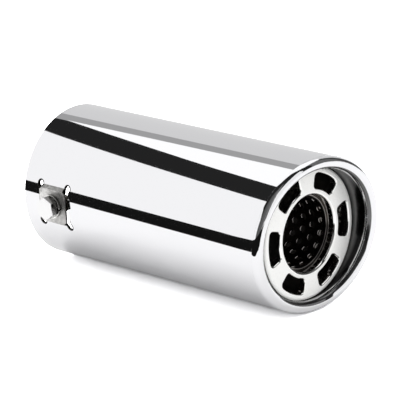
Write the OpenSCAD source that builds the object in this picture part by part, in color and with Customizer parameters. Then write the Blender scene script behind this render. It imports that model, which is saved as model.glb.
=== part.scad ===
/* [Shell] */
// Outside diameter of the shell
shell_d = 76; // [60:1:100]
// Length on the axis from the inlet edge to the front of the rolled lip
shell_len = 157; // [130:1:220]
// Thickness of the shell's sheet
shell_wall = 1.2; // [0.8:0.1:2]
// Slant of the outlet against a square cut, in degrees
slant_deg = 9.3; // [0:0.1:14]
// Direction in which the outlet leans forward, in degrees from +Y towards +Z
slant_dir = 24.5; // [-90:0.5:90]
// Outside radius of the rolled lip
lip_r = 3; // [2:0.1:5]

/* [End plate] */
// Depth of the plate's face behind the lip's front, on the axis
recess = 5.9; // [5.5:0.1:12]
// Thickness of the plate's sheet
plate_wall = 1.2; // [0.8:0.1:1.6]
// Length of the plate's skirt
skirt_len = 8; // [5:0.5:14]
// Radius of the rounded edge between face and skirt
rim_r = 1.6; // [1.2:0.1:2.5]
// Gap between the skirt and the shell's inner sleeve
plate_gap = 0.05; // [0.02:0.01:0.2]
// Number of slots
slot_count = 6; // [3:1:8]
// Inner radius of a slot's throat
slot_in_r = 21.4; // [21.2:0.1:23]
// Outer radius of a slot's throat
slot_out_r = 28.6; // [26:0.1:28.8]
// Angle that a slot's throat spans, in degrees
slot_span = 36; // [20:1:38]
// Corner radius of a slot's throat
slot_corner = 1.8; // [1:0.1:2.5]
// Radius of the rolled edge round a slot
slot_roll = 0.9; // [0.5:0.1:1.1]
// Depth of a slot's flange behind the plate's face
slot_flange = 3.4; // [2.4:0.1:6]

/* [Core] */
// Outside diameter of the perforated tube
core_d = 36.6; // [30:0.2:37]
// Thickness of the perforated sheet
core_wall = 1; // [0.8:0.1:1.5]
// Length of the perforated tube
core_len = 62; // [40:1:100]
// Depth of the tube's front edge behind the plate's face
core_depth = 4.6; // [3:0.1:8]
// Gap between the tube and the plate's collar
core_gap = 0.05; // [0.02:0.01:0.2]
// Radius of the rolled mouth of the collar
collar_roll = 1.5; // [1.2:0.1:1.8]
// Length of the collar behind the plate's face
collar_len = 10; // [8:0.5:14]
// Diameter of a perforation
perf_d = 3.2; // [2.4:0.1:4]
// Number of perforations in a ring
perf_count = 18; // [10:1:18]
// Distance between two rings of perforations
perf_pitch = 5.33; // [4.5:0.01:8]
// Distance from the tube's front edge to the centre of its first ring of perforations
perf_first = 2.9; // [2.4:0.1:8]
// Least distance from the centre of the last ring to the tube's rear edge
perf_last = 4; // [3:0.5:20]

/* [Clamp bridge] */
// Distance from the inlet edge to the bridge's near edge
bridge_start = 11.6; // [8:0.1:20]
// Width of the bridge along the shell
bridge_w = 17.2; // [14:0.1:24]
// Height of the bridge's flat
bridge_h = 16.8; // [14:0.1:20]
// How far the flat stands out from the shell at its middle
bridge_rise = 0.8; // [0.4:0.1:2]
// Run of the bent edge between the flat and the shell
bridge_bend = 1.2; // [0.8:0.1:2]
// Width of the two slits
slit_w = 1.2; // [0.8:0.1:2]
// Diameter of the relief holes at the ends of the slits
relief_d = 3; // [2:0.1:4]

/* [Clamp bolt] */
// Thread diameter
bolt_d = 6; // [5:1:8]
// Width of the hexagon across its flats
hex_af = 10; // [9:0.5:12]
// Height of the bolt's head
head_h = 4; // [3:0.1:5.5]
// Diameter of the chamfer's circle on the head's face, as a share of the width across flats
head_crown = 1.09; // [0.9:0.01:1.14]
// Length of the shank under the head
bolt_len = 12; // [11:0.5:20]
// Turn of the head's hexagon about the bolt's axis, in degrees
head_turn = 5; // [0:1:59]
// Thickness of the spring washer
washer_t = 1.6; // [1:0.1:2.5]
// Outside diameter of the spring washer
washer_d = 11.8; // [11:0.1:15]
// Gap round the shank in the washer
washer_gap = 0.1; // [0.05:0.05:0.4]
// Gap round the shank in the bridge's hole
hole_gap = 0.3; // [0.2:0.05:0.5]
// Gap between the shank and the nut's bore
thread_gap = 0.05; // [0.02:0.01:0.1]
// Height of the nut
nut_h = 5; // [3:0.1:6.5]
// Width of the spring washer's split
split_w = 0.8; // [0.4:0.1:1.5]

/* [Hidden] */
$fn = 96;

steel = "gainsboro";
satin = "silver";
dark_steel = "dimgray";
zinc = "whitesmoke";

// Allowance by which a cutter runs past the face it opens
past = 1;

// Turn of a hexagon that brings two of its corners up and down
hex_turn = 90;

shell_r = shell_d / 2;
bore_r = shell_r - shell_wall;
slant = tan(slant_deg);
slant_y = slant * cos(slant_dir);
slant_z = slant * sin(slant_dir);

// The lip's roll is centred on this radius, and its inner side runs back as the sleeve
roll_r = shell_r - lip_r;
sleeve_r = roll_r - lip_r;
lip_x = shell_len - lip_r;
sleeve_back = 1.5;

// What is joined to a wall lies inside the wall's two faces by this much, and reaches along it
inset = 0.02;
lip_root = 2;
foot_inset = 0.1;
foot_root = 0.8;

plate_r = sleeve_r - plate_gap;
plate_x = shell_len - recess;
sleeve_x = plate_x - skirt_len - sleeve_back;

core_r = core_d / 2;
collar_r = core_r + core_gap;
core_front = plate_x - core_depth;
core_back = core_front - core_len;
perf_rings = floor((core_len - perf_first - perf_last) / perf_pitch) + 1;

bridge_mid = bridge_start + bridge_w / 2;
bridge_y = shell_r + bridge_rise;
slit_half = bridge_h / 2 + bridge_bend;

hex_corner_r = hex_af / 2 / cos(30);
shank_r = bolt_d / 2;
washer_face_h = 0.4;
washer_face_d = 0.9 * hex_af;
nut_crown = 0.95;
chamfer = 0.6;
chamfer_deg = 30;

// Steps along one corner, along one arc and round the roll of a slot's edge
corner_steps = 4;
arc_steps = 7;
roll_steps = 4;

// Turns local Z into the object's X, local X into Y and local Y into Z
module along_x() {
    rotate([90, 0, 90]) children();
}

// Puts local Z along the bolt's axis, outwards from the bridge's flat
module on_bridge() {
    translate([bridge_mid, -bridge_y, 0]) rotate([90, 0, 0]) children();
}

// Leans what it holds forward, more the further it lies in the slant's direction
module leaned() {
    multmatrix([[1, 0, 0, 0], [0, 1, 0, 0], [slant_y, slant_z, 1, 0], [0, 0, 0, 1]]) children();
}

// Everything in front of the slanted plane in which the roll of the lip begins
module front_of_slant() {
    translate([0, 0, lip_x])
        rotate(a = -slant_deg, v = [-sin(slant_dir), cos(slant_dir), 0])
            translate([-shell_d, -shell_d, 0]) cube([2 * shell_d, 2 * shell_d, shell_d]);
}

module tube(outer, inner, start, end) {
    translate([0, 0, start])
        difference() {
            cylinder(r = outer, h = end - start);
            translate([0, 0, -past]) cylinder(r = inner, h = end - start + 2 * past);
        }
}

// The roll of the lip, from the outer wall over the front to the sleeve, rooted in both walls
module lip() {
    outer = lip_r - inset;
    inner = lip_r - shell_wall + inset;
    translate([0, 0, lip_x])
        leaned()
            rotate_extrude()
                translate([roll_r, 0])
                    difference() {
                        union() {
                            intersection() {
                                circle(r = outer);
                                translate([-outer, 0]) square([2 * outer, outer]);
                            }
                            translate([-outer, -lip_root]) square([2 * outer, lip_root]);
                        }
                        circle(r = inner);
                        translate([-inner, -lip_root - past]) square([2 * inner, lip_root + past]);
                    }
}

// Depth of a circle's edge below its centre line, at a distance to the side
function drop(r, side) = sqrt(r * r - side * side);

// The bridge across the shell: a flat with two bent edges, rooted in the shell's wall
module bridge() {
    half = bridge_h / 2;
    inner_half = half - shell_wall / 2;
    root = slit_half + foot_root;
    foot_out = drop(shell_r, slit_half) - foot_inset;
    foot_in = drop(bore_r, slit_half) + foot_inset;
    root_out = drop(shell_r, root) - foot_inset;
    root_in = drop(bore_r, root) + foot_inset;
    outside = [[-root_out, root], [-foot_out, slit_half], [-bridge_y, half]];
    inside = [[shell_wall - bridge_y, inner_half], [-foot_in, slit_half], [-root_in, root]];
    upper = concat(inside, outside);
    lower = [for (i = [len(upper) - 1 : -1 : 0]) [upper[i][0], -upper[i][1]]];
    translate([bridge_start, 0, 0])
        along_x()
            linear_extrude(height = bridge_w) polygon(concat(upper, lower));
}

// The window that the bridge spans, with a slit left open on each side of it
module bridge_window() {
    translate([bridge_start - slit_w, -bridge_y - past, -slit_half])
        cube([bridge_w + 2 * slit_w, bridge_y / 2, 2 * slit_half]);
}

module relief_holes() {
    for (x = [bridge_start - slit_w / 2, bridge_start + bridge_w + slit_w / 2])
        for (side = [-1, 1])
            translate([x, 0, side * slit_half])
                rotate([90, 0, 0]) cylinder(d = relief_d, h = shell_d, $fn = 32);
}

module outer_shell() {
    color(steel)
        difference() {
            union() {
                difference() {
                    along_x() {
                        difference() {
                            union() {
                                tube(shell_r, bore_r, 0, shell_len + shell_r);
                                tube(sleeve_r + shell_wall, sleeve_r, sleeve_x, shell_len + shell_r);
                            }
                            front_of_slant();
                        }
                        lip();
                    }
                    bridge_window();
                }
                bridge();
            }
            relief_holes();
            on_bridge() translate([0, 0, -shell_d / 4])
                cylinder(r = shank_r + hole_gap, h = shell_d / 2, $fn = 48);
        }
}

function polar(r, a) = r * [cos(a), sin(a)];
function arc(centre, r, from, to, steps) =
    [for (i = [0 : steps]) centre + polar(r, from + (to - from) * i / steps)];

// A slot's outline, an arc's sector with round corners, grown by a margin on every side
function slot_outline(grow) =
    let (
        half = slot_span / 2,
        corner = slot_corner + grow,
        out_r = slot_out_r - slot_corner,
        in_r = slot_in_r + slot_corner,
        out_a = half - asin(slot_corner / out_r),
        in_a = half - asin(slot_corner / in_r),
        out_step = 2 * out_a / (arc_steps + 2),
        in_step = 2 * in_a / (arc_steps + 2)
    )
    concat(
        arc(polar(out_r, -out_a), corner, -half - 90, -out_a, corner_steps),
        arc([0, 0], slot_out_r + grow, out_step - out_a, out_a - out_step, arc_steps),
        arc(polar(out_r, out_a), corner, out_a, half + 90, corner_steps),
        arc(polar(in_r, in_a), corner, half + 90, in_a + 180, corner_steps),
        arc([0, 0], slot_in_r - grow, in_a - in_step, in_step - in_a, arc_steps),
        arc(polar(in_r, -in_a), corner, 180 - in_a, 270 - half, corner_steps)
    );

// The opening of one slot: a throat whose mouth widens in a quarter round up to the face
module slot_opening() {
    rolls = [for (i = [0 : roll_steps]) [
        slot_roll * (1 - sin(90 * i / roll_steps)),
        slot_roll * (cos(90 * i / roll_steps) - 1)
    ]];
    levels = concat([[slot_roll, past]], rolls, [[0, -slot_flange - past]]);
    rings = [for (level = levels) [for (p = slot_outline(level[0])) [p[0], p[1], level[1]]]];
    n = len(rings[0]);
    last = len(rings) - 1;
    walls = [for (k = [0 : last - 1]) for (i = [0 : n - 1])
        [k * n + i, k * n + (i + 1) % n, (k + 1) * n + (i + 1) % n, (k + 1) * n + i]];
    front = [for (i = [n - 1 : -1 : 0]) i];
    back = [for (i = [0 : n - 1]) last * n + i];
    polyhedron([for (ring = rings) each ring], concat(walls, [front, back]));
}

// The plate's section: collar, face and skirt, bent from one sheet
module plate_section() {
    middle = (collar_r + plate_r) / 2;
    difference() {
        union() {
            translate([collar_r + collar_roll, -collar_roll]) circle(r = collar_roll, $fn = 48);
            translate([plate_r - rim_r, -rim_r]) circle(r = rim_r, $fn = 48);
            translate([collar_r + collar_roll, -plate_wall])
                square([plate_r - rim_r - collar_r - collar_roll, plate_wall]);
            translate([collar_r, -collar_len]) square([middle - collar_r, collar_len - collar_roll]);
            translate([middle, -skirt_len]) square([plate_r - middle, skirt_len - rim_r]);
        }
        translate([collar_r + plate_wall, -collar_len - past])
            square([plate_r - collar_r - 2 * plate_wall, collar_len + past - plate_wall]);
    }
}

module end_plate() {
    color(satin)
        along_x()
            translate([0, 0, plate_x])
                difference() {
                    union() {
                        rotate_extrude() plate_section();
                        for (i = [0 : slot_count - 1])
                            rotate([0, 0, i * 360 / slot_count])
                                translate([0, 0, -slot_flange])
                                    linear_extrude(height = slot_flange - plate_wall / 2)
                                        polygon(slot_outline(plate_wall));
                    }
                    for (i = [0 : slot_count - 1])
                        rotate([0, 0, i * 360 / slot_count]) slot_opening();
                }
}

// One ring of perforations, each drilled through the tube's wall from outside
module perforation_ring(turn) {
    for (i = [0 : perf_count - 1])
        rotate([0, 0, turn + i * 360 / perf_count])
            translate([core_r - core_wall - past, 0, 0])
                rotate([0, 90, 0]) cylinder(d = perf_d, h = core_wall + 2 * past, $fn = 24);
}

module perforated_core() {
    color(dark_steel)
        along_x()
            difference() {
                tube(core_r, core_r - core_wall, core_back, core_front);
                for (k = [0 : perf_rings - 1])
                    translate([0, 0, core_front - perf_first - k * perf_pitch])
                        perforation_ring((k % 2) * 180 / perf_count);
            }
}

// A hexagon with one or both ends chamfered to a round crown, whose diameter is a share of its width
module hexagon(height, crown, both_ends) {
    crown_r = crown * hex_af / 2;
    steep = height / tan(chamfer_deg);
    intersection() {
        cylinder(r = hex_corner_r, h = height, $fn = 6);
        cylinder(r1 = crown_r + steep, r2 = crown_r, h = height);
        if (both_ends) cylinder(r1 = crown_r, r2 = crown_r + steep, h = height);
    }
}

module clamp_bolt() {
    tip = washer_t - bolt_len;
    color(zinc)
        on_bridge() {
            translate([0, 0, washer_t + washer_face_h])
                rotate([0, 0, hex_turn + head_turn]) hexagon(head_h - washer_face_h, head_crown, false);
            translate([0, 0, washer_t]) cylinder(d = washer_face_d, h = 2 * washer_face_h);
            translate([0, 0, tip + chamfer]) cylinder(r = shank_r, h = bolt_len, $fn = 48);
            translate([0, 0, tip]) cylinder(r1 = shank_r - chamfer, r2 = shank_r, h = chamfer, $fn = 48);
        }
}

module spring_washer() {
    color(zinc)
        on_bridge()
            difference() {
                tube(washer_d / 2, shank_r + washer_gap, 0, washer_t);
                rotate([chamfer_deg, 0, 0])
                    translate([0, -split_w / 2, -washer_d]) cube([washer_d, split_w, 2 * washer_d]);
            }
}

module weld_nut() {
    color(zinc)
        on_bridge()
            translate([0, 0, -shell_wall - nut_h])
                difference() {
                    rotate([0, 0, hex_turn]) hexagon(nut_h, nut_crown, true);
                    translate([0, 0, -past])
                        cylinder(r = shank_r + thread_gap, h = nut_h + 2 * past, $fn = 48);
                }
}

outer_shell();
end_plate();
perforated_core();
clamp_bolt();
spring_washer();
weld_nut();
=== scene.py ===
import math

import bpy
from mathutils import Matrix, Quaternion, Vector


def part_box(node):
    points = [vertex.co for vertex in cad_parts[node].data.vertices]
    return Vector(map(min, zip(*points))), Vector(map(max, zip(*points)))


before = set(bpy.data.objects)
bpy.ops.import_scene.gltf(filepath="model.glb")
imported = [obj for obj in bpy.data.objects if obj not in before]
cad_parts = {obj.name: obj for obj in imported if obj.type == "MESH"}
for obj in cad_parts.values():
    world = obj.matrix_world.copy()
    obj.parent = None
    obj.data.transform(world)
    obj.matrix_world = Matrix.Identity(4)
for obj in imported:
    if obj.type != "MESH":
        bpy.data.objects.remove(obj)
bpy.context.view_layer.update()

# Outer shell: one tube of stainless sheet, its outlet edge rolled in to a round lip, with a slit
# bridge for the clamp bolt. Outside and lip are buffed to a mirror, the inside is left as rolled,
# and the bridge is only brushed.
tube_r = 0.038
bore_r = 0.0368
sleeve_r = 0.032


def linear(hex_colour):
    """A colour written as sRGB hex, turned to the linear values that shaders take."""
    channels = [int(hex_colour[i : i + 2], 16) / 255 for i in (1, 3, 5)]
    return (*[c / 12.92 if c <= 0.04045 else ((c + 0.055) / 1.055) ** 2.4 for c in channels], 1.0)


def add_node(material, kind, values=None, links=None, **settings):
    """Adds one node to a tree, with its settings, its sockets' values and its links."""
    tree = material.node_tree
    made = tree.nodes.new(kind)
    for name, value in settings.items():
        setattr(made, name, value)
    for socket, value in (values or {}).items():
        made.inputs[socket].default_value = value
    for socket, (source, output) in (links or {}).items():
        tree.links.new(source.outputs[output], made.inputs[socket])
    return made


def blank_material(name):
    """A material with an empty tree."""
    material = bpy.data.materials.new(name)
    material.use_nodes = True
    material.node_tree.nodes.clear()
    return material


def from_tube_axis(material, axes):
    """How far a point lies from the axis that shell, end plate and core share."""
    square = [
        add_node(material, "ShaderNodeMath", {1: 2.0}, {0: (axes, axis)}, operation="POWER")
        for axis in ("Y", "Z")
    ]
    total = add_node(
        material, "ShaderNodeMath", links={0: (square[0], 0), 1: (square[1], 0)}, operation="ADD"
    )
    return add_node(material, "ShaderNodeMath", links={0: (total, 0)}, operation="SQRT")


def dress(node_name, material):
    """Gives a CAD node its finished material in all its slots."""
    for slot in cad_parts[node_name].material_slots:
        slot.material = material


mirror = blank_material("mirror_buffed_stainless")
place = add_node(mirror, "ShaderNodeTexCoord")
axes = add_node(mirror, "ShaderNodeSeparateXYZ", links={0: (place, "Object")})
radius = from_tube_axis(mirror, axes)

# How far along the tube a point lies, measured on the outlet's slant, and where the lip starts
lean_y = 0.149
lean_z = 0.0679
lip_start = 0.154
leaned = add_node(
    mirror,
    "ShaderNodeVectorMath",
    {1: (1.0, -lean_y, -lean_z)},
    {0: (place, "Object")},
    operation="DOT_PRODUCT",
)
in_front = add_node(
    mirror, "ShaderNodeMath", {1: lip_start}, {0: (leaned, "Value")}, operation="GREATER_THAN"
)
behind = add_node(mirror, "ShaderNodeMath", {0: 1.0}, {1: (in_front, 0)}, operation="SUBTRACT")

# The inside of the tube and the back of the sleeve, which no buffing wheel reaches. The tolerance
# takes in the wall of the bore, and leaves out the front of the sleeve.
bore_tolerance = 0.0003
between_walls = add_node(
    mirror,
    "ShaderNodeMath",
    {1: (sleeve_r + bore_r) / 2 + bore_tolerance, 2: (bore_r - sleeve_r) / 2},
    {0: (radius, 0)},
    operation="COMPARE",
)
inside = add_node(
    mirror, "ShaderNodeMath", links={0: (between_walls, 0), 1: (behind, 0)}, operation="MULTIPLY"
)

# The sleeve behind the lip, left dull, and the lip's inner side, which the wheel only brushes past
# and which is painted dark grey, a painted reflection of the dark that it faces
sleeve_tolerance = 0.0001
lip_inner_r = 0.03265
lip_inner_half = 0.0005
sleeve_wall = add_node(
    mirror,
    "ShaderNodeMath",
    {1: sleeve_r + sleeve_tolerance},
    {0: (radius, 0)},
    operation="LESS_THAN",
)
sleeve = add_node(
    mirror, "ShaderNodeMath", links={0: (sleeve_wall, 0), 1: (behind, 0)}, operation="MULTIPLY"
)
inner_side = add_node(
    mirror,
    "ShaderNodeMath",
    {1: lip_inner_r, 2: lip_inner_half},
    {0: (radius, 0)},
    operation="COMPARE",
)
lip_inner = add_node(
    mirror, "ShaderNodeMath", links={0: (inner_side, 0), 1: (in_front, 0)}, operation="MULTIPLY"
)

bridge_mid = 0.0202
bolt_side = add_node(mirror, "ShaderNodeMath", {1: 0.0}, {0: (axes, "Y")}, operation="LESS_THAN")


def round_the_bolt(half_w, half_h):
    """The part of the shell on the bolt's side that lies within these distances of the bolt."""
    area = bolt_side
    for axis, middle, half in (("X", bridge_mid, half_w), ("Z", 0.0, half_h)):
        within = add_node(
            mirror, "ShaderNodeMath", {1: middle, 2: half}, {0: (axes, axis)}, operation="COMPARE"
        )
        area = add_node(
            mirror, "ShaderNodeMath", links={0: (area, 0), 1: (within, 0)}, operation="MULTIPLY"
        )
    return area


# The clamp bridge, as far as its slits and bends
bridge_half_w = 0.00865
bridge_half_h = 0.0097
bridge = round_the_bolt(bridge_half_w, bridge_half_h)

# The press leaves the cut walls of the slits and relief holes, and the bridge's underside, dull,
# and they are painted dark grey, a painted shade in the narrow cuts and under the bridge. The
# tolerance keeps off the faces of the sheet.
press_half_w = 0.0112
press_half_h = 0.0115
cut_tolerance = 0.00004
in_wall = add_node(
    mirror,
    "ShaderNodeMath",
    {1: (tube_r + bore_r) / 2, 2: (tube_r - bore_r) / 2 - cut_tolerance},
    {0: (radius, 0)},
    operation="COMPARE",
)
cut_wall = add_node(
    mirror,
    "ShaderNodeMath",
    links={0: (round_the_bolt(press_half_w, press_half_h), 0), 1: (in_wall, 0)},
    operation="MULTIPLY",
)

# Painted shade: a near-black ring round each relief hole, standing in for the dark inside that the
# hole shows
hole_x = 0.0092
hole_z = 0.0096
hole_ring_r = 0.0022
from_hole = []
for axis, middle, reach in (("X", bridge_mid, hole_x), ("Z", 0.0, hole_z)):
    centred = add_node(
        mirror, "ShaderNodeMath", {1: middle}, {0: (axes, axis)}, operation="SUBTRACT"
    )
    folded = add_node(mirror, "ShaderNodeMath", links={0: (centred, 0)}, operation="ABSOLUTE")
    away = add_node(
        mirror, "ShaderNodeMath", {1: reach}, {0: (folded, 0)}, operation="SUBTRACT"
    )
    from_hole.append(
        add_node(mirror, "ShaderNodeMath", {1: 2.0}, {0: (away, 0)}, operation="POWER")
    )
hole_square = add_node(
    mirror, "ShaderNodeMath", links={0: (from_hole[0], 0), 1: (from_hole[1], 0)}, operation="ADD"
)
in_ring = add_node(
    mirror, "ShaderNodeMath", {1: hole_ring_r**2}, {0: (hole_square, 0)}, operation="LESS_THAN"
)
hole_ring_shade = add_node(
    mirror, "ShaderNodeMath", links={0: (in_ring, 0), 1: (bolt_side, 0)}, operation="MULTIPLY"
)

# Haze that the buffing compound leaves on the mirror, in patches of about 30 mm
haze = add_node(
    mirror, "ShaderNodeTexNoise", {"Scale": 33.0, "Detail": 2.0}, {"Vector": (place, "Object")}
)
mirror_rough = add_node(
    mirror, "ShaderNodeMapRange", {"To Min": 0.02, "To Max": 0.05}, {0: (haze, 0)}
)

# The brush's scratches on the bridge run round the tube, 0.15 mm apart and about 3 mm long
brush_scale = add_node(
    mirror, "ShaderNodeMapping", {"Scale": (6600.0, 330.0, 330.0)}, {0: (place, "Object")}
)
brush = add_node(
    mirror, "ShaderNodeTexNoise", {"Scale": 1.0, "Detail": 3.0}, {"Vector": (brush_scale, 0)}
)
bridge_rough = add_node(
    mirror,
    "ShaderNodeMapRange",
    {"From Min": 0.3, "From Max": 0.7, "To Min": 0.26, "To Max": 0.5},
    {0: (brush, 0)},
)

# Handling marks on the bridge, about 2 mm across. It is painted darker towards the outlet, a
# painted shade.
smudge = add_node(
    mirror,
    "ShaderNodeTexNoise",
    {"Scale": 500.0, "Detail": 3.0, "Roughness": 0.6},
    {"Vector": (place, "Object")},
)
bridge_tone = add_node(
    mirror, "ShaderNodeMapRange", {"From Min": 0.35, "From Max": 0.65}, {0: (smudge, 0)}
)
shade_to_outlet = add_node(
    mirror,
    "ShaderNodeMapRange",
    {
        "From Min": bridge_mid - bridge_half_w,
        "From Max": bridge_mid + bridge_half_w,
        "To Min": 1.0,
        "To Max": 0.25,
    },
    {0: (axes, "X")},
)
marks_and_shade = add_node(
    mirror, "ShaderNodeMath", links={0: (bridge_tone, 0), 1: (shade_to_outlet, 0)}, operation="MULTIPLY"
)
bridge_colour = add_node(
    mirror,
    "ShaderNodeMix",
    {6: linear("#ACABA9"), 7: linear("#F0EFED")},
    {0: (marks_and_shade, 0)},
    data_type="RGBA",
)

# The mill finish inside is painted darker in the chamber round the core, a painted shade for the
# closed chamber
chamber_start = 0.07
chamber_end = 0.1
into_chamber = add_node(
    mirror,
    "ShaderNodeMapRange",
    {"From Min": chamber_start, "From Max": chamber_end},
    {0: (axes, "X")},
)
inner_tone_and_shade = add_node(
    mirror,
    "ShaderNodeMix",
    {6: linear("#B4B0AA"), 7: linear("#3A3836")},
    {0: (into_chamber, 0)},
    data_type="RGBA",
)

# The sleeve is painted darker from the plate to the lip, a painted shade in the recess, and has a
# painted highlight where the lip begins
shade_start = 0.1485
shade_end = 0.1510
highlight_start = 0.1532
highlight_end = 0.1536
to_lip = add_node(
    mirror,
    "ShaderNodeMapRange",
    {"From Min": shade_start, "From Max": shade_end},
    {0: (leaned, "Value")},
)
lip_highlight = add_node(
    mirror,
    "ShaderNodeMapRange",
    {"From Min": highlight_start, "From Max": highlight_end},
    {0: (leaned, "Value")},
)
shaded = add_node(
    mirror,
    "ShaderNodeMix",
    {6: linear("#6C6C6C"), 7: linear("#202020")},
    {0: (to_lip, 0)},
    data_type="RGBA",
)
sleeve_shade_and_highlight = add_node(
    mirror,
    "ShaderNodeMix",
    {7: linear("#E6E6E6")},
    {0: (lip_highlight, 0), 6: (shaded, 2)},
    data_type="RGBA",
)


def layered(kind, base, layers):
    """Lays values or colours over a base, each where its mask is one, and gives the last mix."""
    under, over, result = (6, 7, 2) if kind == "RGBA" else (2, 3, 0)
    for mask, layer in layers:
        values, links = {}, {0: (mask, 0)}
        for socket, source in ((under, base), (over, layer)):
            if isinstance(source, tuple) and isinstance(source[0], bpy.types.Node):
                links[socket] = source
            else:
                values[socket] = source
        base = (add_node(mirror, "ShaderNodeMix", values, links, data_type=kind), result)
    return base


# Painted marks in these layers: the lip's inner side is a painted reflection, the cut walls and
# hole rings are painted shade, and the sleeve and inside carry painted shade and a painted
# highlight
colour = layered(
    "RGBA",
    linear("#E6E6E8"),
    [
        (lip_inner, linear("#6A6A6A")),
        (sleeve, (sleeve_shade_and_highlight, 2)),
        (inside, (inner_tone_and_shade, 2)),
        (bridge, (bridge_colour, 2)),
        (cut_wall, linear("#5E5C5A")),
        (hole_ring_shade, linear("#1E1D1C")),
    ],
)
roughness = layered(
    "FLOAT",
    (mirror_rough, 0),
    [
        (lip_inner, 0.2),
        (sleeve, 0.22),
        (inside, 0.45),
        (bridge, (bridge_rough, 0)),
        (cut_wall, 0.35),
        (hole_ring_shade, 0.25),
    ],
)
brush_height = layered("FLOAT", 0.0, [(bridge, (brush, 0))])

# The rolled sheet waves by a few hundredths of a millimetre, over 30 mm round the tube and 120 mm
# along it
wave_scale = add_node(
    mirror, "ShaderNodeMapping", {"Scale": (8.0, 33.0, 33.0)}, {0: (place, "Object")}
)
wave = add_node(
    mirror, "ShaderNodeTexNoise", {"Scale": 1.0, "Detail": 1.0}, {"Vector": (wave_scale, 0)}
)
waved = add_node(mirror, "ShaderNodeBump", {"Distance": 0.00012}, {"Height": (wave, 0)})
brushed = add_node(
    mirror,
    "ShaderNodeBump",
    {"Strength": 0.25, "Distance": 0.00003},
    {"Height": brush_height, "Normal": (waved, 0)},
)
shader = add_node(
    mirror,
    "ShaderNodeBsdfPrincipled",
    {"Metallic": 1.0},
    {"Base Color": colour, "Roughness": roughness, "Normal": (brushed, 0)},
)
add_node(mirror, "ShaderNodeOutputMaterial", links={"Surface": (shader, 0)})
dress("outer_shell", mirror)

# Weld nut: a plain hexagon nut of bare turned steel, welded under the bridge inside the shell
# before the end plate goes in. It stays without plating, and shows a brownish grey.
bare = blank_material("bare_turned_steel")
place = add_node(bare, "ShaderNodeTexCoord")
# Turning marks along the bolt's axis, coarser than real, 0.6 mm apart, so that they show
turned = add_node(
    bare,
    "ShaderNodeTexWave",
    {"Scale": 500.0, "Distortion": 2.0},
    {"Vector": (place, "Object")},
    bands_direction="Y",
)
# Light rust film in spots of about 2 mm
film = add_node(
    bare, "ShaderNodeTexNoise", {"Scale": 500.0, "Detail": 3.0}, {"Vector": (place, "Object")}
)
tone = add_node(
    bare,
    "ShaderNodeMix",
    {6: linear("#8E8A86"), 7: linear("#6E6862")},
    {0: (film, 0)},
    data_type="RGBA",
)
rough = add_node(bare, "ShaderNodeMapRange", {"To Min": 0.3, "To Max": 0.5}, {0: (film, 0)})
bump = add_node(
    bare, "ShaderNodeBump", {"Strength": 0.15, "Distance": 0.00002}, {"Height": (turned, 0)}
)
shader = add_node(
    bare,
    "ShaderNodeBsdfPrincipled",
    {"Metallic": 1.0},
    {"Base Color": (tone, 2), "Roughness": (rough, 0), "Normal": (bump, 0)},
)
add_node(bare, "ShaderNodeOutputMaterial", links={"Surface": (shader, 0)})
dress("weld_nut", bare)

# End plate: a cup pressed from one stainless sheet, with six slots whose edges are drawn back to
# flanges. The press leaves its face satin and burnishes the edges that roll over.
plate_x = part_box("end_plate")[1][0]
face_tolerance = 0.00008
plate_bend_r = 0.0297
plate_bend_depth = 0.0009

satin = blank_material("satin_pressed_stainless")
place = add_node(satin, "ShaderNodeTexCoord")
axes = add_node(satin, "ShaderNodeSeparateXYZ", links={0: (place, "Object")})
radius = from_tube_axis(satin, axes)
flat = add_node(
    satin,
    "ShaderNodeMath",
    {1: plate_x - face_tolerance},
    {0: (axes, "X")},
    operation="GREATER_THAN",
)
# The bend round the plate's edge keeps the face's grain
at_edge = add_node(
    satin, "ShaderNodeMath", {1: plate_bend_r}, {0: (radius, 0)}, operation="GREATER_THAN"
)
in_bend = add_node(
    satin,
    "ShaderNodeMath",
    {1: plate_x - plate_bend_depth},
    {0: (axes, "X")},
    operation="GREATER_THAN",
)
edge = add_node(
    satin, "ShaderNodeMath", links={0: (at_edge, 0), 1: (in_bend, 0)}, operation="MULTIPLY"
)
face = add_node(
    satin, "ShaderNodeMath", links={0: (flat, 0), 1: (edge, 0)}, operation="MAXIMUM"
)
# Grain of the rolled sheet, coarser than real, 0.4 mm across, so that it shows
grain = add_node(
    satin, "ShaderNodeTexNoise", {"Scale": 2500.0, "Detail": 2.0}, {"Vector": (place, "Object")}
)
rough = add_node(satin, "ShaderNodeMapRange", {"To Min": 0.26, "To Max": 0.3}, {0: (grain, 0)})
burnished = add_node(
    satin, "ShaderNodeMix", {2: 0.08}, {0: (face, 0), 3: (rough, 0)}, data_type="FLOAT"
)
# The fine grain of the face scatters light as a pale matt surface does
matt = add_node(
    satin, "ShaderNodeMapRange", {"To Min": 1.0, "To Max": 0.15}, {0: (face, 0)}
)
bump = add_node(
    satin, "ShaderNodeBump", {"Strength": 0.03, "Distance": 0.00002}, {"Height": (grain, 0)}
)
shader = add_node(
    satin,
    "ShaderNodeBsdfPrincipled",
    {"Base Color": linear("#F2F2F0")},
    {"Metallic": (matt, 0), "Roughness": (burnished, 0), "Normal": (bump, 0)},
)
add_node(satin, "ShaderNodeOutputMaterial", links={"Surface": (shader, 0)})
dress("end_plate", satin)

# Perforated core: a rolled tube of perforated steel, pushed into the plate's collar from behind.
# It is left plain and looks nearly black in the shade of the outlet.
core_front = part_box("perforated_core")[1][0]
first_ring = core_front - 0.0029
ring_pitch = 0.00533
edge_band_r = 0.01752
edge_band_half = 0.0002
rear_of_hole = 0.0014
rear_half = 0.00025
rim_depth = 0.0001

dull = blank_material("mill_finish_dark_steel")
place = add_node(dull, "ShaderNodeTexCoord")
axes = add_node(dull, "ShaderNodeSeparateXYZ", links={0: (place, "Object")})
radius = from_tube_axis(dull, axes)
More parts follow.
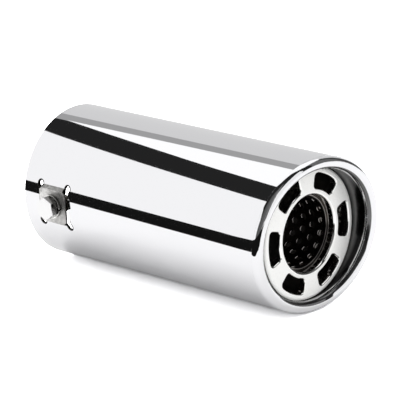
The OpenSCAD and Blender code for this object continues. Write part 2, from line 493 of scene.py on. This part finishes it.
# Mill scale in patches of about 3 mm
scale = add_node(
    dull, "ShaderNodeTexNoise", {"Scale": 330.0, "Detail": 3.0}, {"Vector": (place, "Object")}
)
tone = add_node(
    dull,
    "ShaderNodeMix",
    {6: linear("#262220"), 7: linear("#3A3430")},
    {0: (scale, 0)},
    data_type="RGBA",
)
rough = add_node(dull, "ShaderNodeMapRange", {"To Min": 0.24, "To Max": 0.38}, {0: (scale, 0)})
# Painted highlights: the walls of the holes are painted bright close to the inner face and on
# their rear side, where the holes' edges catch the light
by_inner_face = add_node(
    dull, "ShaderNodeMath", {1: edge_band_r, 2: edge_band_half}, {0: (radius, 0)}, operation="COMPARE"
)
behind_first = add_node(
    dull, "ShaderNodeMath", {0: first_ring}, {1: (axes, "X")}, operation="SUBTRACT"
)
behind_ring = add_node(
    dull, "ShaderNodeMath", {1: ring_pitch, 2: 0.0}, {0: (behind_first, 0)}, operation="WRAP"
)
rear = add_node(
    dull,
    "ShaderNodeMath",
    {1: rear_of_hole, 2: rear_half},
    {0: (behind_ring, 0)},
    operation="COMPARE",
)
hole_highlight = add_node(
    dull, "ShaderNodeMath", links={0: (by_inner_face, 0), 1: (rear, 0)}, operation="MULTIPLY"
)
# A painted highlight on the core's front rim, at about a third of the full brightness
front_end = add_node(
    dull,
    "ShaderNodeMath",
    {1: core_front - rim_depth},
    {0: (axes, "X")},
    operation="GREATER_THAN",
)
rim = add_node(
    dull, "ShaderNodeMath", links={0: (by_inner_face, 0), 1: (front_end, 0)}, operation="MULTIPLY"
)
rim_highlight = add_node(dull, "ShaderNodeMath", {1: 0.35}, {0: (rim, 0)}, operation="MULTIPLY")
painted_highlights = add_node(
    dull, "ShaderNodeMath", links={0: (hole_highlight, 0), 1: (rim_highlight, 0)}, operation="MAXIMUM"
)
highlight_tone = add_node(
    dull,
    "ShaderNodeMix",
    {7: linear("#DCD8D4")},
    {0: (painted_highlights, 0), 6: (tone, 2)},
    data_type="RGBA",
)
# Where the highlights are painted, the surface is made matt as well, so that it scatters what
# light reaches it
highlight_matt = add_node(
    dull, "ShaderNodeMapRange", {"To Min": 1.0, "To Max": 0.1}, {0: (painted_highlights, 0)}
)
shader = add_node(
    dull,
    "ShaderNodeBsdfPrincipled",
    links={"Base Color": (highlight_tone, 2), "Metallic": (highlight_matt, 0), "Roughness": (rough, 0)},
)
add_node(dull, "ShaderNodeOutputMaterial", links={"Surface": (shader, 0)})
dress("perforated_core", dull)

# Spring washer: one turn of square spring steel with a split, zinc plated. It sits under the
# bolt's head; it is painted dark grey, a painted shade under the head, and its front edge has a
# painted highlight.
washer_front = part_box("spring_washer")[0][1]
highlight_depth = 0.0005

washer_zinc = blank_material("zinc_on_spring_steel_painted_shade")
place = add_node(washer_zinc, "ShaderNodeTexCoord")
axes = add_node(washer_zinc, "ShaderNodeSeparateXYZ", links={0: (place, "Object")})
# Drawing marks of the wire, coarser than real, 0.5 mm apart, so that they show
drawn = add_node(
    washer_zinc, "ShaderNodeTexNoise", {"Scale": 2000.0, "Detail": 2.0}, {"Vector": (place, "Object")}
)
rough = add_node(washer_zinc, "ShaderNodeMapRange", {"To Min": 0.18, "To Max": 0.34}, {0: (drawn, 0)})
tone = add_node(
    washer_zinc,
    "ShaderNodeMix",
    {6: linear("#5C5C5A"), 7: linear("#8A8A88")},
    {0: (drawn, 0)},
    data_type="RGBA",
)
# Painted highlight on the washer's front edge, by the head
front_edge = add_node(
    washer_zinc,
    "ShaderNodeMath",
    {1: washer_front + highlight_depth},
    {0: (axes, "Y")},
    operation="LESS_THAN",
)
front_edge_highlight = add_node(
    washer_zinc,
    "ShaderNodeMix",
    {7: linear("#F2F2F0")},
    {0: (front_edge, 0), 6: (tone, 2)},
    data_type="RGBA",
)
shader = add_node(
    washer_zinc,
    "ShaderNodeBsdfPrincipled",
    {"Metallic": 1.0},
    {"Base Color": (front_edge_highlight, 2), "Roughness": (rough, 0)},
)
add_node(washer_zinc, "ShaderNodeOutputMaterial", links={"Surface": (shader, 0)})
dress("spring_washer", washer_zinc)

# Clamp bolt: a cold-headed hexagon bolt with bright zinc plate, screwed in from outside. Its face
# is bright zinc, and its sides are painted dark grey, a painted shade for the dark that they
# reflect.
head_face_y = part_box("clamp_bolt")[0][1]
head_face_depth = 0.0004

zinc = blank_material("bright_zinc_plate")
place = add_node(zinc, "ShaderNodeTexCoord")
axes = add_node(zinc, "ShaderNodeSeparateXYZ", links={0: (place, "Object")})
# The sides below the face are painted dark grey, a painted shade
below_face = add_node(
    zinc,
    "ShaderNodeMath",
    {1: head_face_y + head_face_depth},
    {0: (axes, "Y")},
    operation="GREATER_THAN",
)
# Spangle of the plating, about 0.8 mm across
spangle = add_node(
    zinc, "ShaderNodeTexNoise", {"Scale": 1200.0, "Detail": 2.0}, {"Vector": (place, "Object")}
)
rough = add_node(zinc, "ShaderNodeMapRange", {"To Min": 0.1, "To Max": 0.24}, {0: (spangle, 0)})
tone = add_node(
    zinc,
    "ShaderNodeMix",
    {6: linear("#E8E8E8"), 7: linear("#807F7D")},
    {0: (below_face, 0)},
    data_type="RGBA",
)
shader = add_node(
    zinc,
    "ShaderNodeBsdfPrincipled",
    {"Metallic": 1.0},
    {"Base Color": (tone, 2), "Roughness": (rough, 0)},
)
add_node(zinc, "ShaderNodeOutputMaterial", links={"Surface": (shader, 0)})
dress("clamp_bolt", zinc)

# Floor: a plain pale board that the tip lies on. What the camera sees of it is painted brighter
# than what the polished metal reflects, with a tint above one that lightens the shadow under the
# tip, so it is made twice, one sheet just under the other.
floor_gap = 0.0002
floor_size = 6.0
for name, tint, gap, hidden_from in (
    ("floor_seen", 2.6, floor_gap, ("diffuse", "glossy", "shadow")),
    ("floor_reflected", 0.9, 2 * floor_gap, ("camera",)),
):
    bpy.ops.object.select_all(action="DESELECT")
    bpy.ops.mesh.primitive_plane_add(size=floor_size, location=(0, 0, -tube_r - gap))
    floor = bpy.context.object
    floor.name = name
    board = blank_material(name)
    shader = add_node(board, "ShaderNodeBsdfDiffuse", {"Color": (tint, tint, tint, 1.0)})
    add_node(board, "ShaderNodeOutputMaterial", links={"Surface": (shader, 0)})
    floor.data.materials.append(board)
    for kind in hidden_from:
        setattr(floor, "visible_" + kind, False)

# Studio: a pale room, which the polished metal sees as dark, with white softboxes round the tip.
# Its cards are given in millimetres, and most of them stand just above the floor.
card_foot = -36
world = bpy.data.worlds.new("pale_room")
bpy.context.scene.world = world
world.use_nodes = True
world.node_tree.nodes["Background"].inputs["Color"].default_value = (1, 1, 1, 1)
world.node_tree.nodes["Background"].inputs["Strength"].default_value = 0.9
world.cycles_visibility.glossy = False


def card(name, corners, brightness):
    """A flat card through corners in millimetres, which only reflections see."""
    mesh = bpy.data.meshes.new(name)
    mesh.from_pydata([[c / 1000 for c in corner] for corner in corners], [], [range(len(corners))])
    made = bpy.data.objects.new(name, mesh)
    bpy.context.scene.collection.objects.link(made)
    glow = blank_material(name)
    shader = add_node(glow, "ShaderNodeEmission", {"Strength": brightness})
    add_node(glow, "ShaderNodeOutputMaterial", links={"Surface": (shader, 0)})
    mesh.materials.append(glow)
    for kind in ("camera", "diffuse", "shadow", "transmission", "volume_scatter"):
        setattr(made, "visible_" + kind, False)


def upright(name, start, end, foot, top, brightness):
    """A card that stands upright between two points of the plan, from its foot to its top."""
    card(name, [(*start, foot), (*end, foot), (*end, top), (*start, top)], brightness)


# Large upright softbox at the front left, and one at the right beside the camera
side = Vector((0.519, -0.855))
middle = Vector((-351, -115))
left = middle - 260 * side
right = middle + 980 * side
card(
    "front_softbox",
    [(*left, card_foot), (*right, card_foot), (*right, 410), (*left, 425)],
    1.13,
)
card(
    "right_softbox",
    [(1000, -220, -300), (960, 390, -300), (1000, 150, 640), (960, -400, 560)],
    1.04,
)

# Ceiling softbox behind the tip, whose front edge runs towards the camera
ceiling_z = 400
ceiling = [(-383, 154), (-199, -42), (-100, -130), (50, -100), (157, -20), (330, 30)]
ceiling += [(470, 130), (310, 270), (157, 310), (0, 270), (-150, 160)]
card("ceiling_softbox", [(x, y, ceiling_z) for x, y in ceiling], 1.25)

# Grey wall at the back, darker above, and a bright patch behind the outlet
wall_left = (-4000, 700)
wall_right = (320, 700)
wall_seam = 960
upright("back_wall", wall_left, wall_right, card_foot, wall_seam, 0.76)
upright("wall_top", wall_left, wall_right, wall_seam, 1650, 0.42)
upright("bright_patch", (-330, 690), (280, 690), card_foot, 310, 1.15)

# Low black edge in front of the tip, where the board ends
board_foot = -37.5
board_end = [(-324, -255, 28), (-139, -201, 14.6), (46, -147, 1.5), (75, -142, 4)]
board_end += [(150, -128, 8), (230, -100, 8), (262, -62, 4)]
for number, (a, b) in enumerate(zip(board_end, board_end[1:])):
    card(f"board_end_{number}", [(*a[:2], board_foot), (*b[:2], board_foot), b, a], 0.008)

# Dim corners of the room, between the two front softboxes and between the right one and the wall.
# Each stretch is as bright as its first point says, and is left open where that is nothing.
corner_top = 1300
corners = [(157, -960, 0.1), (480, -760, 0.13), (800, -560, 0.22), (1010, -430, 0)]
corners += [(1100, 430, 0.16), (900, 900, 0.07), (400, 1200, 0)]
for number, (a, b) in enumerate(zip(corners, corners[1:])):
    if a[2] > 0:
        upright(f"dim_corner_{number}", a[:2], b[:2], card_foot, corner_top, a[2])

# Faint light of the dark room itself
room_half = 5000
room_glow = 0.02
room = [(x * room_half, y * room_half) for x, y in ((-1, -1), (1, -1), (1, 1), (-1, 1))]
for number, (a, b) in enumerate(zip(room, room[1:] + room[:1])):
    upright(f"room_{number}", a, b, card_foot, room_half, room_glow)
card("room_top", [(*corner, room_half) for corner in room], room_glow)

# Soft key light from above, which reflections don't see
key = bpy.data.lights.new("key", "AREA")
key.shape = "RECTANGLE"
key.size = 1.2
key.size_y = 0.9
key.energy = 6.0
key_light = bpy.data.objects.new("key", key)
key_light.location = (0.0, 0.1, 0.9)
key_light.visible_camera = False
key_light.visible_glossy = False
bpy.context.scene.collection.objects.link(key_light)

# Camera: a long lens from the front right, a little above the tip and slightly rolled
camera = bpy.data.cameras.new("camera")
camera.sensor_width = 36.0
camera.lens = 206.08
camera.clip_start = 0.01
camera.clip_end = 20.0
view = bpy.data.objects.new("camera", camera)
bpy.context.scene.collection.objects.link(view)
view.location = (0.7996, -0.7597, 0.3562)
aim = Vector((0.0842, -0.0017, 0.0045))
roll = math.radians(-3.27)
backward = (view.location - aim).normalized()
view.rotation_mode = "QUATERNION"
view.rotation_quaternion = backward.to_track_quat("Z", "Y") @ Quaternion((0, 0, 1), roll)
bpy.context.scene.camera = view
bpy.context.scene.view_settings.view_transform = "Standard"
